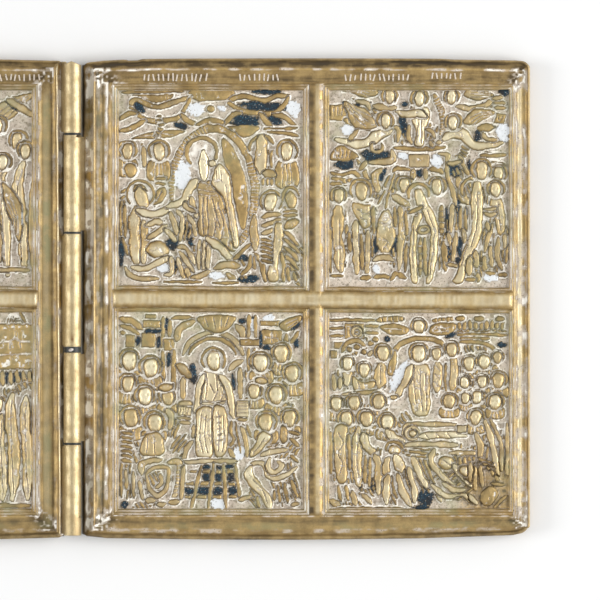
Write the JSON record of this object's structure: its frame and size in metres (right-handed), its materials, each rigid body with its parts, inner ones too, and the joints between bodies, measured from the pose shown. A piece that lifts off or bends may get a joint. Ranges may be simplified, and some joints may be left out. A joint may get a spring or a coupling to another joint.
{
  "type": "triptych altarpiece",
  "caption": "Small folding cast-brass altarpiece of hinged leaves with relief scenes, borders and enamel remains, lying open on its back.",
  "frame": {"origin": "middle of the flat back, under the centre of the open piece", "axes": "+Z out of the picture side, +Y towards the top of the scenes, +X to the viewer's right"},
  "size_m": [0.2978, 0.1036, 0.0082],
  "materials": {
    "cast_brass": "cast and worn",
    "pin_wire": "dull"
  },
  "bodies": {
    "centre": {"centre_leaf": "cast_brass", "left_hinge_pin": "pin_wire", "right_hinge_pin": "pin_wire"},
    "left_wing": {"left_wing": "cast_brass"},
    "right_wing": {"right_wing": "cast_brass"}
  },
  "joints": [
    {"name": "left_hinge", "type": "hinge", "parent": "centre", "child": "left_wing", "pos_m": [-0.05066, 0, 0.00415], "axis": [0, 1, 0], "range_deg": [0, 180]},
    {"name": "right_hinge", "type": "hinge", "parent": "centre", "child": "right_wing", "pos_m": [0.05066, 0, 0.0063], "axis": [0, -1, 0], "range_deg": [0, 180]}
  ]
}
